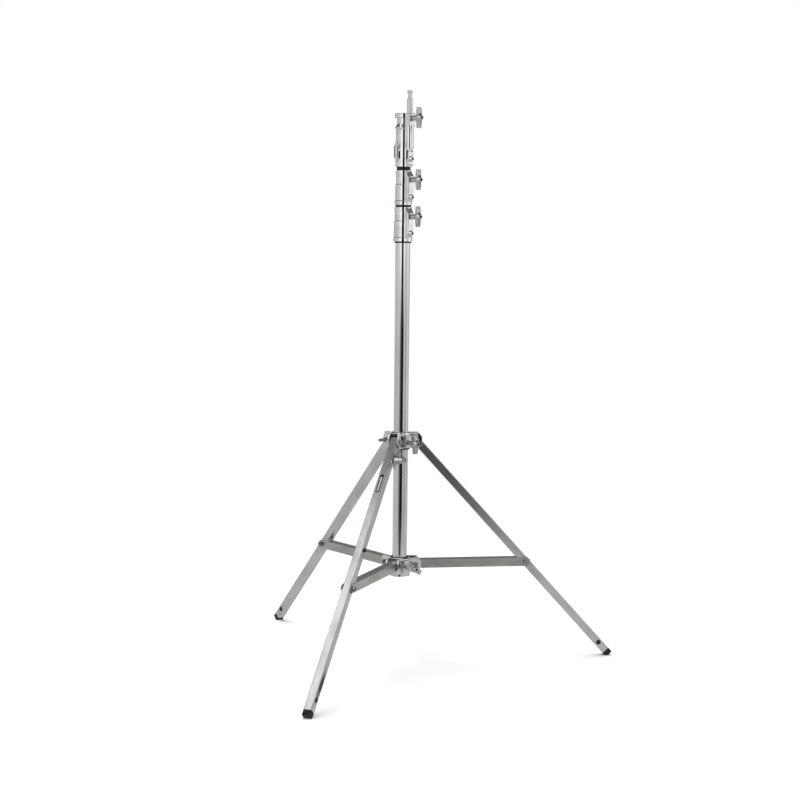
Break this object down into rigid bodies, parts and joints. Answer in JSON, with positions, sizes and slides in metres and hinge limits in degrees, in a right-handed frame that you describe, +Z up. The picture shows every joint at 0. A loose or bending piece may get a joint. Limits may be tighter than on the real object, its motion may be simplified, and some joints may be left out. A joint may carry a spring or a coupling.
{
  "type": "lighting stand",
  "caption": "Folding steel lighting stand: a telescoping column of clamped tubes on a braced tripod base, with a socket and a retractable stud at the top.",
  "frame": {"origin": "middle of the footprint's box, on the floor", "axes": "+Z up along the column; the front leg points along -Y; +X to the right seen from the front leg"},
  "size_m": [1.0628, 0.9208, 1.5634],
  "materials": {
    "chrome_tube": "bright chrome plating on steel tube",
    "chrome_casting": "bright chrome plating on a die casting",
    "leg_chrome": "satin chrome plating on square tube",
    "cast_handle": "die-cast zinc alloy, satin",
    "steel_bolt": "zinc-plated steel",
    "black_nylon": "moulded black nylon",
    "rubber": "moulded black rubber",
    "brass_pad": "turned brass",
    "label": "blank adhesive label"
  },
  "bodies": {
    "base": {"brace_hub": "chrome_casting", "brace_hub_ring": "black_nylon", "brace_hub_brake_pad": "brass_pad", "brace_hub_bolts": "steel_bolt"},
    "column": {"base_tube": "chrome_tube", "base_tube_plug": "black_nylon", "collar_1": "chrome_casting", "collar_1_ring": "black_nylon", "collar_1_bush": "black_nylon", "collar_1_brake_pad": "brass_pad", "collar_1_anchor_bolt": "steel_bolt"},
    "riser_1": {"riser_1_tube": "chrome_tube", "riser_1_guide": "black_nylon", "collar_2": "chrome_casting", "collar_2_bush": "black_nylon", "collar_2_brake_pad": "brass_pad", "collar_2_anchor_bolt": "steel_bolt"},
    "riser_2": {"riser_2_tube": "chrome_tube", "riser_2_guide": "black_nylon", "receiver": "chrome_casting", "receiver_shoe": "brass_pad", "receiver_anchor_bolt": "steel_bolt", "socket_floor_plug": "black_nylon"},
    "stud": {"stud": "chrome_tube"},
    "leg_hub": {"leg_hub": "chrome_casting", "leg_hub_bush": "black_nylon", "leg_hub_ring": "black_nylon", "leg_hub_brake_pad": "brass_pad", "leg_pivot_bolts": "steel_bolt"},
    "brace_hub_handle": {"brace_hub_knob": "cast_handle", "brace_hub_screw": "steel_bolt"},
    "collar_1_handle": {"collar_1_knob": "cast_handle", "collar_1_screw": "steel_bolt"},
    "collar_2_handle": {"collar_2_knob": "cast_handle", "collar_2_screw": "steel_bolt"},
    "receiver_handle": {"receiver_knob": "cast_handle", "receiver_screw": "steel_bolt"},
    "leg_hub_handle": {"leg_hub_knob": "cast_handle", "leg_hub_screw": "steel_bolt"},
    "leveller_handle": {"leveller_knob": "cast_handle", "leveller_screw": "steel_bolt"},
    "brace_right": {"brace_right": "leg_chrome", "brace_bolt_right": "steel_bolt"},
    "leg_right": {"leg_right": "leg_chrome", "leg_pin_right": "steel_bolt", "foot_right": "rubber"},
    "brace_left": {"brace_left": "leg_chrome", "brace_bolt_left": "steel_bolt"},
    "leg_left": {"leg_left": "leg_chrome", "leg_pin_left": "steel_bolt", "foot_left": "rubber"},
    "brace_front": {"brace_front": "leg_chrome", "brace_bolt_front": "steel_bolt"},
    "leg_front": {"leg_front": "leg_chrome", "leg_pin_front": "steel_bolt", "foot_front": "rubber", "leveller_clamp": "chrome_casting", "label_plate": "label", "leg_bumper": "rubber"}
  },
  "joints": [
    {"name": "column_slide", "type": "slide", "parent": "base", "child": "column", "axis": [0, 0, 1], "range_m": [-0.08, 0]},
    {"name": "fold", "type": "slide", "parent": "base", "child": "leg_hub", "axis": [0, 0, 1], "range_m": [0, 0.4319]},
    {"name": "riser_1_slide", "type": "slide", "parent": "column", "child": "riser_1", "axis": [0, 0, 1], "range_m": [0, 0.87]},
    {"name": "riser_2_slide", "type": "slide", "parent": "riser_1", "child": "riser_2", "axis": [0, 0, 1], "range_m": [0, 0.9]},
    {"name": "stud_slide", "type": "slide", "parent": "riser_2", "child": "stud", "axis": [0, 0, 1], "range_m": [-0.06, 0]},
    {"name": "brace_right_fold", "type": "hinge", "parent": "base", "child": "brace_right", "pos_m": [0.03637, 0.16832, 0.274], "axis": [0.5, -0.866, 0], "range_deg": [0, 86.85]},
    {"name": "leg_right_fold", "type": "hinge", "parent": "brace_right", "child": "leg_right", "pos_m": [0.3072, 0.32468, 0.274], "axis": [0.5, -0.866, 0], "range_deg": [-127.28, 0]},
    {"name": "brace_left_fold", "type": "hinge", "parent": "base", "child": "brace_left", "pos_m": [-0.03637, 0.16832, 0.274], "axis": [0.5, 0.866, 0], "range_deg": [0, 86.85]},
    {"name": "leg_left_fold", "type": "hinge", "parent": "brace_left", "child": "leg_left", "pos_m": [-0.3072, 0.32468, 0.274], "axis": [0.5, 0.866, 0], "range_deg": [-127.28, 0]},
    {"name": "brace_front_fold", "type": "hinge", "parent": "base", "child": "brace_front", "pos_m": [0, 0.10532, 0.274], "axis": [-1, 0, 0], "range_deg": [0, 86.85]},
    {"name": "leg_front_fold", "type": "hinge", "parent": "brace_front", "child": "leg_front", "pos_m": [0, -0.20741, 0.274], "axis": [-1, 0, 0], "range_deg": [-127.28, 0]},
    {"name": "brace_hub_screw_turn", "type": "hinge", "parent": "base", "child": "brace_hub_handle", "pos_m": [0.0433, 0.12232, 0.268], "axis": [0.866, -0.5, 0], "range_deg": [0, 450]},
    {"name": "collar_1_screw_turn", "type": "hinge", "parent": "column", "child": "collar_1_handle", "pos_m": [0.0433, 0.12232, 1.2271], "axis": [0.866, -0.5, 0], "range_deg": [0, 450]},
    {"name": "collar_2_screw_turn", "type": "hinge", "parent": "riser_1", "child": "collar_2_handle", "pos_m": [0.0433, 0.12232, 1.3257], "axis": [0.866, -0.5, 0], "range_deg": [0, 450]},
    {"name": "receiver_screw_turn", "type": "hinge", "parent": "riser_2", "child": "receiver_handle", "pos_m": [0.0433, 0.12232, 1.4894], "axis": [0.866, -0.5, 0], "range_deg": [0, 450]},
    {"name": "leg_hub_screw_turn", "type": "hinge", "parent": "leg_hub", "child": "leg_hub_handle", "pos_m": [0.0433, 0.12232, 0.613], "axis": [0.866, -0.5, 0], "range_deg": [0, 450]},
    {"name": "leveller_screw_turn", "type": "hinge", "parent": "leg_front", "child": "leveller_handle", "pos_m": [0, 0.06513, 0.57358], "axis": [1, 0, 0], "range_deg": [0, 450]}
  ],
  "couplings": [
    {"joint": "brace_right_fold", "follows": "fold", "rad_per_m": 3.5076},
    {"joint": "leg_right_fold", "follows": "fold", "rad_per_m": -5.1416},
    {"joint": "brace_left_fold", "follows": "fold", "rad_per_m": 3.5076},
    {"joint": "leg_left_fold", "follows": "fold", "rad_per_m": -5.1416},
    {"joint": "brace_front_fold", "follows": "fold", "rad_per_m": 3.5076},
    {"joint": "leg_front_fold", "follows": "fold", "rad_per_m": -5.1416}
  ]
}
